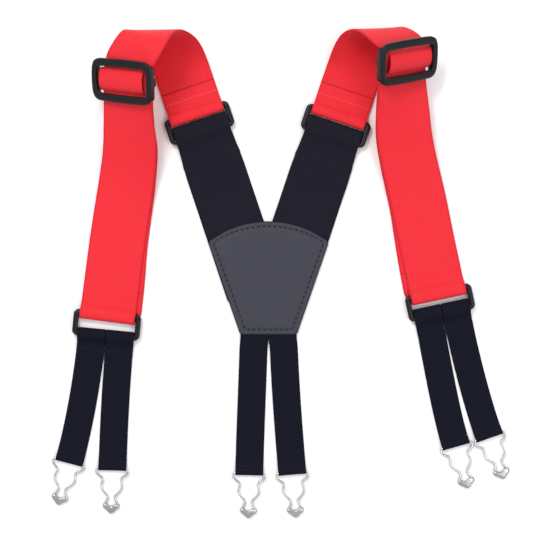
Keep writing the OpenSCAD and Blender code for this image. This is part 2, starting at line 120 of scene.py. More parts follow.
class Finish:
    def __init__(self, name, **shader):
        self.material = bpy.data.materials.new(name)
        self.material.use_nodes = True
        self.tree = self.material.node_tree
        self.shader = self.tree.nodes["Principled BSDF"]
        for key, value in shader.items():
            self.shader.inputs[key.replace("_", " ")].default_value = value

    def node(self, kind, settings, sockets, out=0):
        made = self.tree.nodes.new(kind)
        for key, value in settings.items():
            setattr(made, key, value)
        for key, value in sockets.items():
            if isinstance(value, Value):
                self.tree.links.new(value.socket, made.inputs[key])
            else:
                made.inputs[key].default_value = value
        return Value(self, made.outputs[out])

    def where(self, kind="Object"):
        return self.node("ShaderNodeTexCoord", {}, {}, kind)

    def across(self):  # metres across and along a strap, from its UV map
        uv = self.node("ShaderNodeSeparateXYZ", {}, {0: self.where("UV")})
        return uv, Value(self, uv.socket.node.outputs[1])

    def noise(self, scale, detail=3, coords=None, rough=0.5):
        return self.node("ShaderNodeTexNoise", {}, {"Vector": coords or self.where(), "Scale": scale,
                                                    "Detail": detail, "Roughness": rough})

    def blend(self, share, a, b):
        return self.node("ShaderNodeMix", {"data_type": "RGBA"}, {0: share, 6: a, 7: b}, 2)

    def colour(self, value):
        self.tree.links.new(value.socket, self.shader.inputs["Base Color"])
        return self

    def roughness(self, value):
        self.tree.links.new(value.socket, self.shader.inputs["Roughness"])
        return self

    def bump(self, height, depth, strength=1.0):
        made = self.node("ShaderNodeBump", {}, {"Height": height, "Distance": depth, "Strength": strength})
        self.tree.links.new(made.socket, self.shader.inputs["Normal"])
        return self


webbingLook = {"lit": (0.84, 0.028, 0.04, 1), "deep": (0.6, 0.008, 0.02, 1), "edge": (0.5, 0.006, 0.014, 1),
               "rib": 1.15e-3, "pick": 0.95e-3, "depth": 1.5e-4}


def webbingFinish(name, look, half, sheen, specular):
    made = Finish(name, Roughness=0.62, Sheen_Weight=sheen, Sheen_Roughness=0.4, Specular_IOR_Level=specular)
    u, v = made.across()
    rib = (u * (2 * math.pi / look["rib"])).sin()
    pick = (v * (2 * math.pi / look["pick"])).sin()
    weave = rib * pick * 0.5 + 0.5
    fuzz = made.noise(900, 4)
    cloud = made.noise(26, 3)
    lanes = made.node("ShaderNodeCombineXYZ", {}, {0: u * 1500, 1: v * 70})
    streak = made.noise(1.0, 2, lanes)
    edge = u.abs().step(half - 2.2e-3, half - 0.6e-3)
    mix = weave * 0.3 + fuzz * 0.25 + cloud * 0.15 + streak * 0.5 - 0.12
    shade = made.blend(mix, look["lit"], look["deep"])
    made.colour(made.blend(edge * 0.45, shade, look["edge"]))
    made.roughness(fuzz * 0.16 + 0.54)
    selvedge = (v * (2 * math.pi / (look["pick"] * 1.6))).sin() * edge
    made.bump(weave * 0.8 + fuzz * 0.35 + selvedge * 0.7, look["depth"], 0.9)
    return made.material


elasticLook = {"lit": (0.0155, 0.0145, 0.025, 1), "deep": (0.0062, 0.0058, 0.0104, 1),
               "edge": (0.007, 0.0066, 0.0115, 1), "rib": 1.5e-3, "pick": 0.8e-3, "depth": 9e-5}
legLook = {"lit": (0.0105, 0.0115, 0.0225, 1), "deep": (0.0026, 0.003, 0.0062, 1),
           "rib": 1.05e-3, "cord": 1.35e-3, "depth": 1.3e-4}


def legFinish():
    made = Finish("legElastic", Roughness=0.8, Specular_IOR_Level=0.06)
    u, v = made.across()
    cords = (v * (2 * math.pi / legLook["cord"])).sin() * 0.5 + 0.5
    ribs = (u * (2 * math.pi / legLook["rib"])).sin() * 0.5 + 0.5
    fuzz = made.noise(1100, 3)
    made.colour(made.blend(cords * 0.45 + ribs * 0.15 + fuzz * 0.35, legLook["deep"], legLook["lit"]))
    made.bump(cords * 0.8 + ribs * 0.25 + fuzz * 0.3, legLook["depth"], 0.9)
    return made.material


leatherLook = {"high": (0.038, 0.038, 0.058, 1), "low": (0.025, 0.025, 0.039, 1),
               "grain": 1100, "depth": 4e-5}


def leatherFinish(name, look, lift=1.0):
    made = Finish(name, Roughness=0.55, Specular_IOR_Level=0.35)
    cells = made.node("ShaderNodeTexVoronoi", {"feature": "SMOOTH_F1"},
                      {"Vector": made.where(), "Scale": look["grain"], "Smoothness": 0.6})
    creases = made.node("ShaderNodeTexVoronoi", {"feature": "DISTANCE_TO_EDGE"},
                        {"Vector": made.where(), "Scale": look["grain"] * 0.55})
    cloud = made.noise(18, 4)
    speck = made.noise(1500, 2)
    pebble = creases.step(0.0, 0.22)
    tone = made.blend(pebble * 0.45 + cloud * 0.5 * lift, look["low"], look["high"])
    made.colour(made.blend(speck * 0.25, tone, look["high"]))
    made.roughness(0.68 - pebble * 0.12 + speck * 0.06)
    made.bump(pebble * 0.7 + speck * 0.25 - cells * 0.3, look["depth"], 0.85)
    return made.material


def plasticFinish():
    made = Finish("blackPlastic", Roughness=0.3, Specular_IOR_Level=0.26)
    cloud = made.noise(60, 3)
    grain = made.noise(1400, 2)
    made.colour(made.blend(cloud, (0.0028, 0.003, 0.0052, 1), (0.0045, 0.0048, 0.0075, 1)))
    made.roughness(cloud * 0.14 + grain * 0.12 + 0.24)
    made.bump(grain + cloud * 0.4, 2.5e-5, 0.6)
    return made.material


def metalFinish(name, bright, dull, rough):
    made = Finish(name, Metallic=1.0)
    cloud = made.noise(140, 4)
    brushed = made.noise(2600, 2)
    made.colour(made.blend(cloud, bright, dull))
    made.roughness(cloud * 0.16 + brushed * 0.08 + rough)
    made.bump(brushed + cloud * 0.5, 1.6e-5, 0.5)
    return made.material


def threadFinish(name, bright, dark):
    made = Finish(name, Roughness=0.6, Specular_IOR_Level=0.1)
    strands = made.noise(2400, 2)
    made.colour(made.blend(strands, bright, dark))
    made.bump(strands, 4e-5, 0.6)
    return made.material


def tableFinish():
    made = Finish("tableTop", Roughness=0.32, Specular_IOR_Level=0.3)
    cloud = made.noise(3, 2)
    level = stage["table"]
    made.colour(made.blend(cloud, (level, level, level, 1), (level * 0.985, level * 0.98, level * 0.99, 1)))
    return made.material


table = setStage()
table.data.materials.append(tableFinish())
redWebbing = webbingFinish("redWebbing", webbingLook, 25e-3, 0.1, 0.2)
backElastic = webbingFinish("backElastic", elasticLook, 27e-3, 0.0, 0.04)
legElastic = legFinish()
patchLeather = leatherFinish("patchLeather", leatherLook)
patchLining = leatherFinish("patchLining", {"high": (0.04, 0.041, 0.055, 1), "low": (0.02, 0.02, 0.03, 1),
                                            "grain": 420, "depth": 1e-4}, 0.6)
blackPlastic = plasticFinish()
nickelWire = metalFinish("nickelWire", (0.68, 0.68, 0.7, 1), (0.44, 0.44, 0.46, 1), 0.12)
nickelSheet = metalFinish("nickelSheet", (0.5, 0.5, 0.52, 1), (0.28, 0.28, 0.3, 1), 0.2)
# shoulder seam thread: the thread's own red, lightened to pale pink as a painted highlight on the raised
# stitches
redThreadPaintedHighlight = threadFinish("redThreadPaintedHighlight", (1.0, 0.2, 0.2, 1), (0.85, 0.07, 0.08, 1))
# a dark red for the line along the flap's end: painted shadow at the step
stepShadowThread = threadFinish("flapStepPaintedShadow", (0.16, 0.006, 0.01, 1), (0.07, 0.003, 0.006, 1))
legThread = threadFinish("legThread", (0.03, 0.032, 0.05, 1), (0.011, 0.012, 0.02, 1))
blackThread = threadFinish("blackThread", (0.006, 0.006, 0.01, 1), (0.0015, 0.0015, 0.003, 1))
print("stage and finishes set")

# ---- the braces' plan: outward millimetres, mirrored for the left ----
sides = ("left", "right")
plan = {
    "webbing": (50, 1.5), "elastic": (53.8, 1.4), "leg": (25.2, 1.2),
    "ring": {"long": 60.8, "deep": 24.4, "bar": 4.8, "corner": 4.5, "barY": 9.7, "barZ": 4.1},
    "backRing": {"left": (62, 139.2), "right": (60.3, 136.6)}, "backTurn": -18.5,
    "frontRing": {"left": (145.2, -41.9, 5.5), "right": (153.9, -22, 12)},
    "runTurn": {"left": 7.4, "right": 12},
    "foldSlack": {"left": 3.3, "right": 3.6}, "legSlack": {"left": 1.9, "right": 5},
    "ends": {"left": {"back": (17.3, -175.3, 1.2), "outer": (179, -164.6, 14.5), "inner": (140.4, -171, 1.7)},
             "right": {"back": (21.3, -174.8, 4.8), "outer": (198.3, -142, 19), "inner": (168.3, -149.8, 16)}},
    "clipBarZ": 2.4,
}
shoulder = {
    "crest": {"left": (96.8, 217.4, 30), "right": (93.8, 218.8, 29)}, "radius": {"left": 25, "right": 21},
    "lean": 24, "turn": 4.3, "skew": (22, 4), "lift": (46, 5.2, -6),
    "angles": {"left": (45, 70, 95, 120, 145), "right": (45, 70, 95, 120)},
    "adjuster": {"left": (123.7, 172.3, 38.5), "right": (117.6, 190.8, 39)},
    "pitch": {"left": 18, "right": 23}, "runLean": {"left": (9.8, -29), "right": (15, -31)},
    "foot": {"left": ((123.2, 133, 24, 9, -18), (123, 115, 16.5, 9, -11), (125.6, 96, 9, 9, -7),
                      (129.2, 74, 4.4, 8.5, -2), (133.2, 50, 2.7, 7.4, 0)),
             "right": ((118.4, 150, 24.5, 12, -13), (120.4, 128, 17, 13, -5), (125.2, 106, 10, 13, -3),
                       (130.4, 87, 5, 12.5, -2), (136.2, 63, 2.8, 12, 0))},
}


def down(turn):
    a = math.radians(turn)
    return np.array([math.sin(a), -math.cos(a), 0.0])


def acrossDir(turn, lean=0):
    a, e = math.radians(turn), math.radians(lean)
    return np.array([math.cos(a) * math.cos(e), math.sin(a) * math.cos(e), math.sin(e)])


def unit(v):
    return v / np.linalg.norm(v, axis=-1, keepdims=True)


def ease(k):
    return k * k * (3 - 2 * k)


def row(p, w, inner, cup=0.0):  # centre line, width direction, half widths, curvature across
    return np.array([*p, *w, inner, inner, cup], float)


def lay(at, along, section, turn, width):
    return [row((at[0] + along[0] * s, at[1] + along[1] * s, z), acrossDir(turn), width / 2)
            for s, z in section]


def ramp(s0, s1, z0, z1, steps):
    return [(s0 + (s1 - s0) * i / steps, z0 + (z1 - z0) * ease(i / steps)) for i in range(steps + 1)]


def loop(barR, barZ, t, slack, play=0.2):
    r = barR + play + t / 2
    return [(-slack - r * math.sin(math.radians(i * 15)), barZ + r * math.cos(math.radians(i * 15)))
            for i in range(13)]


def smoothCurve(rows, steps):
    p = np.array(rows)
    out = []
    for i in range(len(p) - 1):
        a, b, c, d = p[max(i - 1, 0)], p[i], p[i + 1], p[min(i + 2, len(p) - 1)]
        for j in range(steps):
            k = j / steps
            out.append(0.5 * (2 * b + (c - a) * k + (2 * a - 5 * b + 4 * c - d) * k * k
                              + (3 * b - a - 3 * c + d) * k ** 3))
    return out + [p[-1]]


# rim: share of the half thickness; pressWidth: of a sewn dip; fade: of a calmed stretch's ends
strapShape = {"rim": 0.9, "pressWidth": 0.9, "fade": 12}


def evenRows(rows, pitch, soften=3, calm=()):
    p = np.array(rows, float)
    s = np.concatenate([[0], np.cumsum(np.linalg.norm(np.diff(p[:, :3], axis=0), axis=1))])
    keep = np.concatenate([[True], np.diff(s) > 1e-6])
    p, s = p[keep], s[keep]
    t = np.linspace(0, s[-1], max(int(s[-1] / pitch) + 1, 3))
    q = np.stack([np.interp(t, s, p[:, k]) for k in range(p.shape[1])], 1)
    for i in range(max(soften, 1)):
        q[1:-1] += 0.5 * ((q[:-2] + q[2:]) / 2 - q[1:-1])
    for start, end, times, first in calm:  # extra smoothing of a stretch, from one column on
        share = np.clip(np.minimum(t - start, end - t) / strapShape["fade"], 0, 1)[:, None]
        for i in range(times):
            move = 0.5 * ((q[:-2] + q[2:]) / 2 - q[1:-1])
            q[1:-1, first:] += (move * share[1:-1])[:, first:]
    return q, t


def strapMesh(name, rows, lengths, thickness, material, side, columns=21, press=(), sheared=0, calm=None):
    p, given = rows[:, :3], rows[:, 3:6]
    t = unit(np.gradient(p, axis=0))
    square = lengths < lengths[-1] - sheared  # the last stretch may run off askew
    w = np.where(square[:, None], unit(given - (given * t).sum(1, keepdims=True) * t), given)
    if calm:
        inside = np.minimum(lengths - calm[0], calm[1] - lengths)
        share = np.clip(inside / strapShape["fade"], 0, 1)[:, None]
        for i in range(calm[2]):
            w[1:-1] += 0.5 * ((w[:-2] + w[2:]) / 2 - w[1:-1]) * share[1:-1]
        w = unit(w)
    n = unit(np.cross(w, -t))
    h = thickness / 2
    rim = h * strapShape["rim"]
    top = [(x, 0, h) for x in np.linspace(-1, 1, columns)]
    edge = [(1, rim * math.sin(a), h * math.cos(a)) for a in (math.pi / 4, math.pi / 2, 3 * math.pi / 4)]
    under = [(x, 0, -h) for x in np.linspace(1, -1, columns)]
    section = top + edge + under + [(-x, -y, -z) for x, y, z in edge]
    verts, uvs = [], []
    dips = np.zeros(len(p))
    for place, depth in press:
        dips += depth * np.exp(-((lengths - place) / strapShape["pressWidth"]) ** 2)
    for i in range(len(p)):
        inner, outer = rows[i, 6], rows[i, 7]
        for x, extra, height in section:
            half = (outer if x > 0 else inner) - rim
            a = x * half + extra
            dip = dips[i] * (1 - abs(x) ** 8) if height > 0 and not extra else 0
            verts.append(p[i] + w[i] * a + n[i] * (height - dip - rows[i, 8] * a * a / 2))
            uvs.append((a * mm, lengths[i] * mm))
    m = len(section)
    faces = [(i * m + k, (i + 1) * m + k, (i + 1) * m + (k + 1) % m, i * m + (k + 1) % m)
             for i in range(len(p) - 1) for k in range(m)]
    faces += [tuple(range(m)), tuple((len(p) - 1) * m + k for k in range(m - 1, -1, -1))]
    return meshObject(name, verts, faces, material, side, uvs)


def meshObject(name, verts, faces, material, side="right", uvs=None, smooth=True):
    verts = np.array(verts, float) * mm
    if side == "left":
        verts[:, 0] *= -1
        faces = [tuple(reversed(f)) for f in faces]
    mesh = bpy.data.meshes.new(name)
    mesh.from_pydata(verts.tolist(), [], [tuple(int(i) for i in f) for f in faces])
    if uvs is not None:
        layer = mesh.uv_layers.new(name="UVMap")
        index = np.zeros(len(mesh.loops), int)
        mesh.loops.foreach_get("vertex_index", index)
        layer.data.foreach_set("uv", np.array(uvs, np.float32)[index].ravel())
    mesh.materials.append(material)
    mesh.polygons.foreach_set("use_smooth", [smooth] * len(mesh.polygons))
    mesh.validate()
    mesh.update()
    made = bpy.data.objects.new(name, mesh)
    bpy.context.scene.collection.objects.link(made)
    return made


def placed(side, p):
    return (p[0] * (-1 if side == "left" else 1) * mm, p[1] * mm, p[2] * mm)


# ---- stitches ----
stitch = {  # pitch, length and width of one stitch
    # the "edge" stitches overlap into one solid line: the painted shadow along the flap's end
    "webbing": (3.1, 2.5, 0.62), "edge": (1.1, 1.2, 0.5), "patch": (4.9, 3.1, 0.6), "leg": (2.6, 1.8, 0.45)}


def stitchTree():
    tree = bpy.data.node_groups.new("sewnSeam", "GeometryNodeTree")
    face = tree.interface
    face.new_socket("Seam", in_out="INPUT", socket_type="NodeSocketGeometry")
    for name in ("Pitch", "Stitch Length", "Thread Width"):
        face.new_socket(name, in_out="INPUT", socket_type="NodeSocketFloat")
    face.new_socket("Thread", in_out="INPUT", socket_type="NodeSocketMaterial")
    face.new_socket("Stitches", in_out="OUTPUT", socket_type="NodeSocketGeometry")
    add = tree.nodes.new
    link = tree.links.new
    given, result = add("NodeGroupInput"), add("NodeGroupOutput")
    curve, spaced = add("GeometryNodeMeshToCurve"), add("GeometryNodeResampleCurve")
    spaced.mode = "LENGTH"
    link(given.outputs["Seam"], curve.inputs["Mesh"])
    link(curve.outputs["Curve"], spaced.inputs["Curve"])
    link(given.outputs["Pitch"], spaced.inputs["Length"])
    ball = add("GeometryNodeMeshUVSphere")
    ball.inputs["Segments"].default_value = 8
    ball.inputs["Rings"].default_value = 5
    ball.inputs["Radius"].default_value = 0.5
    size = add("ShaderNodeCombineXYZ")
    link(given.outputs["Stitch Length"], size.inputs[0])
    link(given.outputs["Thread Width"], size.inputs[1])
    link(given.outputs["Thread Width"], size.inputs[2])
    tangent, turn = add("GeometryNodeInputTangent"), add("FunctionNodeAlignRotationToVector")
    turn.axis = "X"
    link(tangent.outputs[0], turn.inputs["Vector"])
    sewn = add("GeometryNodeInstanceOnPoints")
    link(spaced.outputs["Curve"], sewn.inputs["Points"])
    link(ball.outputs["Mesh"], sewn.inputs["Instance"])
    link(turn.outputs["Rotation"], sewn.inputs["Rotation"])
    link(size.outputs[0], sewn.inputs["Scale"])
    real, soft = add("GeometryNodeRealizeInstances"), add("GeometryNodeSetShadeSmooth")
    thread = add("GeometryNodeSetMaterial")
    link(sewn.outputs[0], real.inputs[0])
    link(real.outputs[0], soft.inputs["Geometry"])
    link(soft.outputs[0], thread.inputs["Geometry"])
    link(given.outputs["Thread"], thread.inputs["Material"])
    link(thread.outputs[0], result.inputs[0])
    return tree


seamTree = stitchTree()


def sewSeams(name, seams, kind, thread, body, side="right"):
    verts, edges = [], []
    for seam in seams:
        start = len(verts)
        verts += [tuple(np.array(p) * mm) for p in seam]
        edges += [(start + i, start + i + 1) for i in range(len(seam) - 1)]
    if side == "left":
        verts = [(-x, y, z) for x, y, z in verts]
    mesh = bpy.data.meshes.new(name + "Line")
    mesh.from_pydata(verts, edges, [])
    source = bpy.data.objects.new(name + "Line", mesh)
    bpy.context.scene.collection.objects.link(source)
    sewing = source.modifiers.new("sewing", "NODES")
    sewing.node_group = seamTree
    ids = {item.name: item.identifier for item in seamTree.interface.items_tree if item.in_out == "INPUT"}
    for key, value in zip(("Pitch", "Stitch Length", "Thread Width"), stitch[kind]):
        sewing[ids[key]] = value * mm
    sewing[ids["Thread"]] = thread
    seen = source.evaluated_get(bpy.context.evaluated_depsgraph_get())
    plain = bpy.data.meshes.new_from_object(seen, depsgraph=bpy.context.evaluated_depsgraph_get())
    plain.name = name
    bpy.data.objects.remove(source)
    made = bpy.data.objects.new(name, plain)
    bpy.context.scene.collection.objects.link(made)
    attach(made, body)
    return made


# ---- patch ----
patch = {"top": 54, "bottom": 25, "shoulder": 32.5, "crown": 50.5, "drop": 50.6, "corner": 4,
         "liningT": 1.2, "lowZ": 2.6, "highZ": 4.0, "puff": 0.55, "seam": 4.1, "columns": 120, "rows": 116,
         "crowding": 1.25, "rise": 26, "sag": (0.3, 45),
         "channel": ((0.42, 0.85), (0.25, 2.4)), "rim": (0.7, 0.55)}


def patchOutline(grow):
    top, bottom, corner = patch["top"] + grow, patch["bottom"] + grow, patch["corner"]
    crown, base = patch["crown"] + grow, -patch["drop"] - grow
    rise = crown - patch["shoulder"]
    r = (top * top + rise * rise) / (2 * rise)
    sweep = math.asin(top / r)
    arch = [np.array([r * math.sin(a), crown - r + r * math.cos(a)])
            for a in np.linspace(sweep, -sweep, 33)[1:-1]]
    points = [np.array([-bottom, base]), np.array([bottom, base]), np.array([top, patch["shoulder"]]), *arch,
              np.array([-top, patch["shoulder"]])]

    def rounded(a, b, c):
        u, v = unit(a - b), unit(c - b)
        half = math.acos(np.clip(u @ v, -1, 1)) / 2
        m = b + unit(u + v) * corner / math.sin(half)
        p, q = b + u * corner / math.tan(half), b + v * corner / math.tan(half)
        start = math.atan2(*(p - m)[::-1])
        turn = (math.atan2(*(q - m)[::-1]) - start + 3 * math.pi) % (2 * math.pi) - math.pi
        return [m + corner * np.array([math.cos(start + turn * k / 8), math.sin(start + turn * k / 8)])
                for k in range(9)]

    out = rounded(points[-1], points[0], points[1]) + rounded(points[0], points[1], points[2])
    out += rounded(points[1], points[2], points[6]) + arch[4:-4] + rounded(points[-5], points[-1], points[0])
    return np.array(out)


def edgeDistance(points, outline):
    a, b = outline, np.roll(outline, -1, 0)
    best = np.full(len(points), 1e9)
    foot = np.zeros((len(points), 2))
    inside = np.zeros(len(points), bool)
    for p, q in zip(a, b):
        k = np.clip(((points - p) @ (q - p)) / max((q - p) @ (q - p), 1e-9), 0, 1)[:, None]
        near = p + k * (q - p)
        d = np.linalg.norm(points - near, axis=1)
        closer = d < best
        best[closer], foot[closer] = d[closer], near[closer]
        crosses = (p[1] > points[:, 1]) != (q[1] > points[:, 1])
        climb = q[1] - p[1] if abs(q[1] - p[1]) > 1e-9 else 1e-9
        slope = (q[0] - p[0]) * (points[:, 1] - p[1]) / climb + p[0]
        inside ^= crosses & (points[:, 0] < slope)
    return np.where(inside, best, -best), foot


def patchSheet(name, grow, low, high, material, detail):
    outline = patchOutline(grow)
    m, n = patch["columns"], patch["rows"]
    u, v = np.meshgrid(np.linspace(-1, 1, m), np.linspace(0, 1, n))
    u = np.sign(u) * (1 - (1 - np.abs(u)) ** patch["crowding"])  # rows crowd towards the edges
    v = 0.5 + np.sign(v - 0.5) * (0.5 - 0.5 * (1 - np.abs(2 * v - 1)) ** patch["crowding"])
    topHalf, base, rise = patch["top"] + grow, -patch["drop"] - grow, patch["crown"] - patch["shoulder"]
    r = (topHalf ** 2 + rise ** 2) / (2 * rise)
    crown = patch["crown"] + grow - r + np.sqrt(np.maximum(r * r - (u * topHalf) ** 2, 0))
    y = base + (crown - base) * v
    share = np.clip((y - base) / (patch["shoulder"] - base), 0, 1)
    x = u * (patch["bottom"] + grow + (patch["top"] - patch["bottom"]) * share)
    points = np.stack([x.ravel(), y.ravel()], 1)
    d, foot = edgeDistance(points, outline)
    rim = np.zeros((n, m), bool)
    rim[0], rim[-1], rim[:, 0], rim[:, -1] = True, True, True, True
    out = (d < 0) | rim.ravel()
    points[out], d[out] = foot[out], 0
    topZ = np.full(len(points), float(high))
    if detail:
        seam, (sag, reach) = patch["seam"], patch["sag"]
        swell = np.clip((d - seam) / patch["rise"], 0, 1) ** 0.5
        topZ += patch["puff"] * swell * (1 - sag * np.clip(d / reach, 0, 1))
        for depth, breadth in patch["channel"]:
            topZ -= depth * np.exp(-((d - seam) / breadth) ** 2)
    depth, breadth = patch["rim"]
    topZ -= depth * np.exp(-(d / breadth) ** 2)
    verts = [(p[0], p[1], z) for p, z in zip(points, topZ)] + [(p[0], p[1], low) for p in points]
    k = n * m
    faces = [(j * m + i, j * m + i + 1, (j + 1) * m + i + 1, (j + 1) * m + i)
             for j in range(n - 1) for i in range(m - 1)]
    faces += [tuple(corner + k for corner in (face[0], face[3], face[2], face[1])) for face in faces]
    ring = [i for i in range(m)] + [j * m + m - 1 for j in range(1, n)] \
        + [(n - 1) * m + i for i in range(m - 2, -1, -1)] + [j * m for j in range(n - 2, 0, -1)]
    faces += [(a + k, b + k, b, a) for a, b in zip(ring, ring[1:] + ring[:1])]
    return meshObject(name, verts, faces, material)


def insetSeam(depth):
    outline = patchOutline(-depth)
    return [(p[0], p[1], patch["highZ"] + 0.02) for p in np.vstack([outline, outline[:1]])]


outerPatch = patchSheet("patchOuter", 0, patch["lowZ"], patch["highZ"], patchLeather, True)
lining = patchSheet("patchUnder", 0.6, 0.0, patch["liningT"], patchLining, False)
for piece, node, slotName in ((outerPatch, "patch_outer", "patch_leather"),
                              (lining, "patch_lining", "patch_lining")):
    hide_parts(node)
    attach(piece, "back")
sewSeams("patchSeam", [insetSeam(patch["seam"])], "patch", blackThread, "back")
print("patch made")

# ---- rings and adjusters ----
ringLook = {"sideW": 4.9, "sideH": 5.0, "sides": 20, "round": 2.6}


def roundedPath(halfX, halfY, r, bow=0.0, steps=10, sideBow=0.0):  # closed centre line, outward normals
    path = []
    for cx, cy, start in ((1, -1, -90), (1, 1, 0), (-1, 1, 90), (-1, -1, 180)):
        for k in range(steps + 1):
            a = math.radians(start + 90 * k / steps)
            path.append((cx * (halfX - r) + r * math.cos(a), cy * (halfY - r) + r * math.sin(a),
                         math.cos(a), math.sin(a)))
    dense = []
    for i, p in enumerate(path):
        q = path[(i + 1) % len(path)]
        gap = math.hypot(q[0] - p[0], q[1] - p[1])
        count = max(int(gap / 2.5), 1)
        for k in range(count):
            s = k / count
            x, y, nx, ny = (p[j] + (q[j] - p[j]) * s for j in range(4))
            y += math.copysign(bow * max(0, 1 - (x / (halfX - r)) ** 2), y) if abs(ny) > 0.7 else 0
            x += math.copysign(sideBow * max(0, 1 - (y / halfY) ** 2), x) if x * nx > 0 else 0
            dense.append((x, y, nx, ny))
    return dense


def sweepRing(path, sectionAt, base=0.0):  # verts and faces of a closed moulded hoop
    verts, faces = [], []
    for x, y, nx, ny in path:
        section = sectionAt(abs(ny) / max(math.hypot(nx, ny), 1e-9))
        for a, b in section:
            verts.append((x + nx * a, y + ny * a, base + b))
    m, n = len(section), len(path)
    for i in range(n):
        for k in range(m):
            after, beside = ((i + 1) % n) * m, (k + 1) % m
            faces.append((i * m + k, after + k, after + beside, i * m + beside))
    return verts, faces


def superSection(halfA, halfB, power, count, crown=0.0):
    out = []
    for k in range(count):
        a = 2 * math.pi * k / count
        c, s = math.cos(a), math.sin(a)
        x = math.copysign(abs(c) ** (2 / power), c) * halfA
        z = math.copysign(abs(s) ** (2 / power), s) * halfB
        out.append((x, z + (crown * (1 - (x / halfA) ** 2) if s > 0 else 0)))
    return out


def inFrame(verts, at, axes):
    v = np.array(verts, float)
    return np.array(at) + v[:, :1] * axes[0] + v[:, 1:2] * axes[1] + v[:, 2:] * axes[2]


def makeRing(name, side, at, turn, node, body):
    ring = plan["ring"]
    bar, w = ring["bar"] / 2, ringLook["sideW"] / 2

    def section(barness):
        k = ease(min(max((barness - 0.35) / 0.5, 0), 1))
        return superSection(w + (bar - w) * k, ringLook["sideH"] / 2 + (bar - ringLook["sideH"] / 2) * k,
                            3.4 + (2.05 - 3.4) * k, ringLook["sides"])

    path = roundedPath(ring["long"] / 2 - w, ring["barY"], ringLook["round"], 0.0, 9)
    verts, faces = sweepRing(path, section)
    axes = (acrossDir(turn), -down(turn), np.array([0, 0, 1.0]))
    made = meshObject(name, inFrame(verts, (at[0], at[1], ring["barZ"]), axes), faces, blackPlastic, side)
    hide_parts(node)
    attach(made, body)
    return made


adjuster = {"long": 61, "deep": 37.5, "barW": 7, "sideW": 5.2, "thick": 4.2, "corner": 5.6, "bow": 0.5,
            "base": {"left": 2.75, "right": 4.55}, "shift": {"left": 1.8, "right": 0.6}, "sideBow": 1.2,
            "centreR": 1.5, "centreZ": -4.25, "count": 28,
            "skirt": {"thick": 3.4, "deep": 30, "low": -4.2},
            "cheek": {"thick": 1.8, "deep": 7, "low": -8.4, "x": 26.3}}


def runFrame(side):
    pitch = math.radians(shoulder["pitch"][side])
    t = np.array([0, -math.cos(pitch), -math.sin(pitch)])
    w = acrossDir(*shoulder["runLean"][side])
    w = unit(w - (w @ t) * t)
    return w, -t, np.cross(w, -t)


def makeAdjuster(side):
    a = adjuster
    base = a["base"][side]
    halfBar, halfSide = a["barW"] / 2, a["sideW"] / 2

    def section(barness):
        k = ease(min(max((barness - 0.3) / 0.5, 0), 1))
        return superSection(halfSide + (halfBar - halfSide) * k, a["thick"] / 2, 4.2, a["count"], 0.22)

    path = roundedPath(a["long"] / 2 - halfSide, a["deep"] / 2 - halfBar, a["corner"], a["bow"], 12,
                       a["sideBow"])
    verts, faces = sweepRing([(x + a["shift"][side], y, nx, ny) for x, y, nx, ny in path], section,
                             base + a["thick"] / 2)
    skirt, cheek = a["skirt"], a["cheek"]
    blocks = [(sign, (a["long"] - skirt["thick"]) / 2, skirt, a["shift"][side]) for sign in (-1, 1)]
    blocks += [(sign, cheek["x"], cheek, 0) for sign in (-1, 1)]
    for sign, x, part, shift in blocks:  # side walls below the frame, and cheeks down to the centre bar
        cx = sign * x + shift
        low = base + part["low"]
        levels = [(low, 0.8, 0.95), (low + 0.5, 1, 1), (base - 0.6, 1, 1), (base + 1.2, 1, 1)]
        start = len(verts)
        outline = superSection(part["thick"] / 2, part["deep"] / 2, 5, 24)
        for z, sx, sy in levels:
            verts += [(cx + x * sx, y * sy, z) for x, y in outline]
        m = len(outline)
        for i in range(len(levels) - 1):
            faces += [(start + i * m + k, start + i * m + (k + 1) % m, start + (i + 1) * m + (k + 1) % m,
                       start + (i + 1) * m + k) for k in range(m)]
        faces += [tuple(start + k for k in range(m - 1, -1, -1)),
                  tuple(start + (len(levels) - 1) * m + k for k in range(m))]
    start, m = len(verts), 18
    for x in (-cheek["x"], cheek["x"]):
        verts += [(x, a["centreR"] * math.cos(2 * math.pi * k / m),
                   a["centreZ"] + a["centreR"] * math.sin(2 * math.pi * k / m)) for k in range(m)]
    faces += [(start + k, start + m + k, start + m + (k + 1) % m, start + (k + 1) % m)[::-1] for k in range(m)]
    faces += [tuple(start + k for k in range(m))[::-1], tuple(start + m + k for k in range(m))]
    made = meshObject(side + "Adjuster", inFrame(verts, shoulder["adjuster"][side], runFrame(side)), faces,
                      blackPlastic, side)
    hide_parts(side + "_adjuster")
    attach(made, side + "_adjuster")
    return made


for side in sides:
    bx, by = plan["backRing"][side]
    makeRing(side + "BackRing", side, (bx, by), plan["backTurn"], side + "_back_ring", side + "_back_ring")
    fx, fy, fturn = plan["frontRing"][side]
    makeRing(side + "FrontRing", side, (fx, fy), fturn, side + "_front_ring", side + "_front_ring")
    makeAdjuster(side)
print("rings and adjusters made")

# ---- back elastics ----
elastic = {"flap": 26, "slack": 9.05, "rest": 2.3, "slotZ": 1.9, "narrow": 50.6}


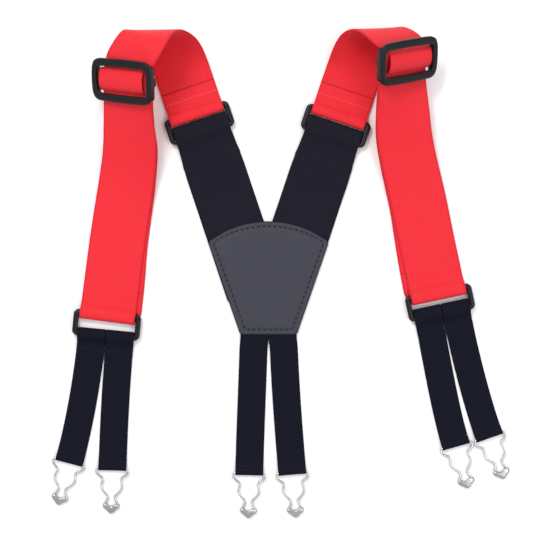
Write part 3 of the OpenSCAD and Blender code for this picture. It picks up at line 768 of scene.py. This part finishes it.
def makeBackElastic(side):
    width, t = plan["elastic"]
    ring, turn = plan["ring"], plan["backTurn"]
    bx, by = plan["backRing"][side]
    along = down(turn)
    bar = np.array([bx, by, 0]) + ring["barY"] * along
    barZ, loopR = ring["barZ"], ring["bar"] / 2 + 0.2 + t / 2
    e = elastic
    near = [(12, barZ - loopR), (3, barZ - loopR)] + loop(ring["bar"] / 2, barZ, t, e["slack"])[::-1] \
        + ramp(0.5, 10, barZ + loopR, e["rest"], 8)
    flat = [(14, e["rest"]), (e["flap"] + 1, e["rest"])]
    far = ramp(e["flap"] + 3, e["flap"] + 30, e["rest"], t / 2, 8) + ramp(70, 86, t / 2, e["slotZ"], 6) \
        + [(150, e["slotZ"])]
    rows = lay(bar, along, [(e["flap"], barZ - loopR)], turn, width)
    rows += lay(bar, along, near, turn, e["narrow"])
    rows += lay(bar, along, flat, turn, (width + e["narrow"]) / 2) + lay(bar, along, far, turn, width)
    q, lengths = evenRows(rows, 1.1, 4, ((58, 135, 60, 0),))
    keep = q[:, 0] > 3
    q, lengths = q[keep], lengths[keep]
    q[:, 6] = np.minimum(q[:, 6], (q[:, 0] - 0.25) / math.cos(math.radians(turn)))
    made = strapMesh(side + "BackElastic", q, lengths, t, backElastic, side, 23)
    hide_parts(side + "_back_elastic")
    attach(made, "back")


# ---- webbing ----
web = {"flap": (23.8, 16), "slack": 2.25, "press": (6.3, 14.0), "frontFold": 22, "returnShift": 4.4,
       "frontZ": 2.45, "crease": ((-2, 2.4), (1, 4.1), (4, 4.7), (22, 4.4)), "tableZ": 0.85,
       "pressDepth": 0.3, "seamHalf": 22.8, "edgeHalf": 24.4}


def wrapped(side, angle):
    s = shoulder
    r, k = s["radius"][side], angle / 180
    skew = math.radians(s["skew"][0] + (s["skew"][1] - s["skew"][0]) * k)
    lean, a = math.radians(s["lean"]), math.radians(angle)
    flat, ahead = acrossDir(s["turn"]), -down(s["turn"])
    axis = math.cos(lean) * flat - np.array([0, 0, math.sin(lean)])
    up = math.sin(lean) * flat + np.array([0, 0, math.cos(lean)])
    around = math.cos(a) * ahead + math.sin(a) * up
    along = r * math.tan(skew) * (a - math.pi / 2)
    p = np.array(s["crest"][side]) + axis * along + r * (math.sin(a) - 1) * ahead - r * math.cos(a) * up
    w = math.cos(skew) * axis - math.sin(skew) * around
    return row(p, w, plan["webbing"][0] / 2, math.sin(skew) ** 2 / r)


def onRun(side, s, drop=0.0):
    pitch = math.radians(shoulder["pitch"][side])
    t = np.array([0, -math.cos(pitch), -math.sin(pitch)])
    face = runFrame(side)[2]
    p = np.array(shoulder["adjuster"][side]) + t * s + face * drop
    return row(p, acrossDir(*shoulder["runLean"][side]), plan["webbing"][0] / 2)


def frontBar(side):
    x, y, turn = plan["frontRing"][side]
    return np.array([x, y, 0]) - plan["ring"]["barY"] * down(turn)


def flatRun(side, s, z, shift=0.0):
    turn = plan["runTurn"][side]
    p = frontBar(side) - s * down(turn) - shift * acrossDir(turn)
    return row((p[0], p[1], z), acrossDir(turn), plan["webbing"][0] / 2)


def makeFrontStrap(side):  # back ring, over the shoulder, under the adjuster and round the front ring
    width, t = plan["webbing"]
    ring, turn = plan["ring"], plan["backTurn"]
    bx, by = plan["backRing"][side]
    up = -down(turn)
    bar = np.array([bx, by, 0]) + ring["barY"] * up
    barZ, loopR = ring["barZ"], ring["bar"] / 2 + 0.2 + t / 2
    flapZ = t * 1.5 + 0.15
    fold = [(web["flap"][0], flapZ), (web["flap"][1], flapZ)] + ramp(9, 0.5, flapZ, barZ + loopR, 8) \
        + loop(ring["bar"] / 2, barZ, t, web["slack"]) + [(6, t / 2), (15, t / 2)]
    over = lay(bar, up, [(19, t / 2), (26, t / 2 + 0.8)], turn, width)
    lift = bar + shoulder["lift"][0] * up
    over.append(row((lift[0], lift[1], shoulder["lift"][1]), acrossDir(turn, shoulder["lift"][2]), width / 2))
    over += [wrapped(side, a) for a in shoulder["angles"][side]]
    over += [onRun(side, -12), onRun(side, 0), onRun(side, 20)]
    over += [row(f[:3], acrossDir(f[3], f[4]), width / 2) for f in shoulder["foot"][side]]
    over += [flatRun(side, 60, web["frontZ"]), flatRun(side, web["frontFold"], web["frontZ"])]
    fTurn = plan["runTurn"][side]
    fBar = frontBar(side)
    top = [(web["frontFold"] - 3, web["frontZ"])] + ramp(9, 0.5, web["frontZ"], barZ + loopR, 8)
    rows = lay(bar, up, fold, turn, width) + smoothCurve(over, 12)
    top += loop(ring["bar"] / 2, barZ, t, plan["foldSlack"][side])
    rows += lay(fBar, -down(fTurn), top, fTurn, width)
    rows += [flatRun(side, s, web["tableZ"], shift) for s, shift in web["crease"]]
    whole = np.array(rows)[:, :3]
    total = np.linalg.norm(np.diff(whole, axis=0), axis=1).sum()
    q, lengths = evenRows(rows, 1.1, 4, ((72, 215, 24, 0), (175, total - 55, 120, 0)))
    made = strapMesh(side + "FrontStrap", q, lengths, t, redWebbing, side, 21,
                     [(web["flap"][0] - s, web["pressDepth"]) for s in web["press"]], 44, (72, 230, 200))
    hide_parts(side + "_shoulder_webbing", side + "_front_webbing", side + "_front_fold")
    high, low = shoulder["foot"][side][1][:3], flatRun(side, 34, web["frontZ"])[:3]
    placed(side, high)
    placed(side, low)
    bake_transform(made)
    lengths[-1] * mm
    w = acrossDir(turn)
    seams = []
    for s in web["press"]:
        rise = (barZ + loopR - flapZ) * ease(max(9 - s, 0) / 8.5)
        c = bar + up * s + np.array([0, 0, flapZ + t / 2 - 0.1 + rise])
        seams.append([c - w * web["seamHalf"], c, c + w * web["seamHalf"]])
    # these stitches carry the pale thread colour with its painted highlight
    sewSeams(side + "ShoulderSeam", seams, "webbing", redThreadPaintedHighlight, side + "_shoulder", side)
    # painted shadow: a solid dark red line of overlapping stitches along the flap's end stands for the shadow
    # at its step
    c = bar + up * (web["flap"][0] + 0.2) + np.array([0, 0, flapZ])
    edge = [c - w * web["edgeHalf"], c, c + w * web["edgeHalf"]]
    sewSeams(side + "FlapShadowLine", [edge], "edge", stepShadowThread, side + "_shoulder", side)
    print(side, "front strap", round(lengths[-1]), "mm")
    return made


def makeReturnStrap(side):  # from the front fold back up under the strap to the centre bar
    width, t = plan["webbing"]
    a, drop = adjuster, 1.6
    loopR = a["centreR"] + 0.2 + t / 2
    topZ, lowZ = a["centreZ"] + loopR, a["centreZ"] + loopR - t - 0.1
    section = [(-21, topZ), (-10, topZ)]
    for k in range(13):
        angle = math.radians(k * 15)
        section.append((loopR * math.sin(angle), a["centreZ"] + loopR * math.cos(angle)))
    section += [(-3, a["centreZ"] - loopR)] + ramp(-4, -13, a["centreZ"] - loopR, lowZ, 6) + [(-21, lowZ)]
    rows = [onRun(side, -s, z) for s, z in section]
    inward = -acrossDir(plan["runTurn"][side]) * web["returnShift"]
    later = [onRun(side, 21.3, lowZ)]
    for i, f in enumerate(shoulder["foot"][side]):
        p = np.array(f[:3]) + inward * i * 0.12 - np.array([0, 0, drop + 0.45 * (4 - i)])
        later.append(row(p, acrossDir(f[3], f[4]), width / 2))
    later += [flatRun(side, 60, web["tableZ"], web["returnShift"] * 0.6),
              flatRun(side, 40, web["tableZ"], web["returnShift"] * 0.85),
              flatRun(side, web["frontFold"], web["tableZ"], web["returnShift"])]
    q, lengths = evenRows(rows + smoothCurve(later, 10), 1.1, 4)
    made = strapMesh(side + "ReturnStrap", q, lengths, t, redWebbing, side, 21, (), 30)
    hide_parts(side + "_return_webbing", side + "_adjuster_tail")
    placed(side, flatRun(side, 30, 0)[:3])
    placed(side, onRun(side, 26)[:3])
    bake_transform(made)
    lengths[-1] * mm
    return made


bulge = {"width": 46.5, "shift": 3.2, "half": 9.8, "low": 0.9, "high": 5.2, "power": 0.45}


def makeBulge(side):  # the strap's rise over the centre bar, inside the adjuster's window
    axes = runFrame(side)
    at = np.array(shoulder["adjuster"][side])
    rows = []
    for k in range(25):
        y = bulge["half"] * (1 - k / 12)
        rise = max(math.cos(y / bulge["half"] * math.pi / 2), 0) ** bulge["power"]
        high = bulge["high"] + adjuster["base"][side] - adjuster["base"]["left"]
        z = bulge["low"] + (high - bulge["low"]) * rise
        p = at + axes[0] * bulge["shift"] + axes[1] * y + axes[2] * z
        rows.append(row(p, axes[0], bulge["width"] / 2))
    q, lengths = evenRows(rows, 0.9, 2)
    made = strapMesh(side + "OverBar", q, lengths, 1.5, redWebbing, side, 21)
    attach(made, side + "_adjuster")


# ---- legs ----
leg = {  # seams: distance from the bar, then the lift at the ring or the height at the clip
    "ringFlap": 19, "clipFlap": 9, "z": 0.65, "flapZ": 2.0, "seamHalf": 10.8,
    "ringSeams": ((7.2, 0.5), (13.4, 0)), "clipSeams": ((2.6, 4.05), (6.2, 2.85))}


def sway(a, b, turnA, turnB, k):
    size, h = np.linalg.norm(b - a), ease(k)
    return a * (1 - h) + b * h + size * k * (1 - k) * ((1 - k) * down(turnA)[:2] - k * down(turnB)[:2])


def swayTurn(a, b, turnA, turnB, k):
    v = sway(a, b, turnA, turnB, min(k + 0.01, 1)) - sway(a, b, turnA, turnB, max(k - 0.01, 0))
    return math.degrees(math.atan2(v[0], -v[1]))


def clipEnd(end):
    width, t = plan["leg"]
    turn, loopR = end[2], 1 + 0.2 + t / 2
    first = lay(end, down(turn), [(-leg["clipFlap"] + 1, leg["flapZ"])]
                + ramp(-7, -0.5, leg["flapZ"], plan["clipBarZ"] + loopR, 6), turn, width)
    second = loop(1, plan["clipBarZ"], t, 0) + [(leg["clipFlap"], leg["z"])]
    return first + lay(end, -down(turn), second, turn, width)


def middle(a, b, turnA, turnB, fromS, steps):
    size = np.linalg.norm(b - a)
    out = []
    for i in range(steps + 1):
        s = fromS + (size - leg["clipFlap"] - 6 - fromS) * i / steps
        p = sway(a, b, turnA, turnB, s / size)
        turn = swayTurn(a, b, turnA, turnB, s / size)
        out.append(row((p[0], p[1], leg["z"]), acrossDir(turn), plan["leg"][0] / 2))
    return out


def crossSeam(at, along, turn, place, z):
    w = acrossDir(turn) * leg["seamHalf"]
    c = np.array([at[0], at[1], 0]) + along * place + np.array([0, 0, z])
    return [c - w, c, c + w]


def makeLeg(side, kind):
    width, t = plan["leg"]
    end = plan["ends"][side][kind]
    b = np.array(end[:2], float)
    ring = plan["ring"]
    seams = [crossSeam(end, -down(end[2]), end[2], place, z) for place, z in leg["clipSeams"]]
    if kind == "back":
        a = np.array([width / 2 + 0.08, -12])
        rows = [row((a[0], y, 1.9), acrossDir(0), width / 2) for y in (a[1], -54)]
        rows += middle(a, b, 0, end[2], 52, 14) + clipEnd(end)
        body = "back"
    else:
        x, y, turn = plan["frontRing"][side]
        off = (width / 2 + 0.2) * (1 if kind == "outer" else -1)
        bar = np.array([x, y, 0]) + ring["barY"] * down(turn) + off * acrossDir(turn)
        loopR = ring["bar"] / 2 + 0.2 + t / 2
        near = [(leg["ringFlap"], leg["z"]), (8, leg["z"]), (3, ring["barZ"] - loopR)]
        near += loop(ring["bar"] / 2, ring["barZ"], t, plan["legSlack"][side])[::-1]
        near += ramp(0.5, 9, ring["barZ"] + loopR, leg["flapZ"], 8) + [(leg["ringFlap"], leg["flapZ"])]
        rows = lay(bar, down(turn), near, turn, width)
        rows += middle(bar[:2], b, turn, end[2], leg["ringFlap"] + 5, 14) + clipEnd(end)
        body = f"{side}_{kind}_leg"
        seams += [crossSeam(bar, down(turn), turn, place, leg["flapZ"] + t / 2 + lift)
                  for place, lift in leg["ringSeams"]]
    q, lengths = evenRows(rows, 1.0, 3)
    made = strapMesh(f"{side}{kind.title()}Leg", q, lengths, t, legElastic, side, 13)
    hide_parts(f"{side}_{kind}_leg")
    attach(made, body)
    lengths[-1] * mm
    sewSeams(f"{side}{kind.title()}LegSeam", seams, "leg", legThread, body, side)


# ---- clips ----
clip = {"half": 14.3, "bend": 2.5, "wireR": 1.0, "sides": 14, "droop": 1.0,
        "tab": ((7.3, -32), (7.5, -33.6), (7.3, -35.2), (6.2, -36.5), (4.6, -37.2)), "tabCentre": (0, -36.0),
        "tip": (3.4, -37.3, (-35, -55, -72, -90)),
        "mouth": ((-4.4, -31.9), (-2.2, -33.4), (0, -34.3), (2.2, -33.4), (4.4, -31.9)),
        "tabCrown": ((1.0, 0.35), (0.97, 0.95), (0.88, 1.35), (0.7, 1.6), (0.4, 1.72), (0.12, 1.75)),
        "shape": ((14.3, 2.5), (14, 4.6), (11.6, 6.8), (8.9, 8.6), (8.3, 11.2), (9.2, 14.4), (9, 18),
                  (6.8, 21.4), (4, 24.2), (3.2, 26.2), (3.9, 28.8), (5.6, 31.6), (6.5, 33.6), (5.6, 34.8),
                  (3, 35.4), (0, 36.4))}


def clipFrame(side, end):
    a = math.radians(clip["droop"])
    x, back = acrossDir(end[2]), -down(end[2])
    y = math.cos(a) * back + np.array([0, 0, math.sin(a)])
    return x, y, np.cross(x, y)


def makeClip(side, kind):
    end = plan["ends"][side][kind]
    at, axes = (end[0], end[1], plan["clipBarZ"]), clipFrame(side, end)
    bend = [(clip["half"] - clip["bend"] * (1 - math.sin(math.radians(k * 18))),
             clip["bend"] * (1 - math.cos(math.radians(k * 18)))) for k in range(5)]
    shape = [tuple(p) for p in smoothCurve([np.array(p, float) for p in clip["shape"]], 5)]
    half = bend + shape
    path = half + [(-x, y) for x, y in reversed(half[:-1])]
    reach = clip["half"] - clip["bend"] - 1
    path += [(x, 0) for x in np.linspace(-reach, reach, 14)]
    line = np.array([(x, -y, 0) for x, y in path])
    tangent = unit(np.roll(line, -1, 0) - np.roll(line, 1, 0))
    out = np.cross(tangent, [0, 0, 1.0])
    verts, m = [], clip["sides"]
    for p, o in zip(line, out):
        for k in range(m):
            a = 2 * math.pi * k / m
            verts.append(p + clip["wireR"] * (math.cos(a) * o + math.sin(a) * np.array([0, 0, 1.0])))
    n = len(line)
    faces = [(i * m + k, i * m + (k + 1) % m, ((i + 1) % n) * m + (k + 1) % m, ((i + 1) % n) * m + k)[::-1]
             for i in range(n) for k in range(m)]
    wire = meshObject(f"{side}{kind.title()}ClipWire", inFrame(verts, at, axes), faces, nickelWire, side)
    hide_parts(f"{side}_{kind}_clip_wire")
    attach(wire, f"{side}_{kind}_clip")
    r, tipY, turns = clip["tip"]
    tip = [(r * math.cos(math.radians(a)), tipY + r * math.sin(math.radians(a))) for a in turns]
    right = list(clip["tab"]) + tip
    left = [(-x, y) for x, y in reversed(right[:-1])]
    outline = np.array(right + left + list(clip["mouth"]))
    centre = np.array(clip["tabCentre"])
    verts, levels = [], clip["tabCrown"]
    m = len(outline)
    for share, z in [(s, -z) for s, z in reversed(levels)] + list(levels):
        verts += [(*(centre + (p - centre) * share), z) for p in outline]
    count = 2 * len(levels)
    faces = [(i * m + k, i * m + (k + 1) % m, (i + 1) * m + (k + 1) % m, (i + 1) * m + k)[::-1]
             for i in range(count - 1) for k in range(m)]
    faces += [tuple(range(m)), tuple((count - 1) * m + k for k in range(m - 1, -1, -1))]
    tab = meshObject(f"{side}{kind.title()}ClipTab", inFrame(verts, at, axes), faces, nickelSheet, side)
    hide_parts(f"{side}_{kind}_clip_tab")
    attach(tab, f"{side}_{kind}_clip")


for side in sides:
    makeBackElastic(side)
    makeFrontStrap(side)
    makeReturnStrap(side)
    makeBulge(side)
    for kind in ("back", "outer", "inner"):
        makeLeg(side, kind)
        makeClip(side, kind)
print("straps, legs and clips made")

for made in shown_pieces():
    mesh = made.data
    volume = sum(mesh.vertices[f.vertices[0]].co.dot(f.normal) * f.area for f in mesh.polygons) / 3
    if volume <= 0:
        print("inside out:", made.name, volume)
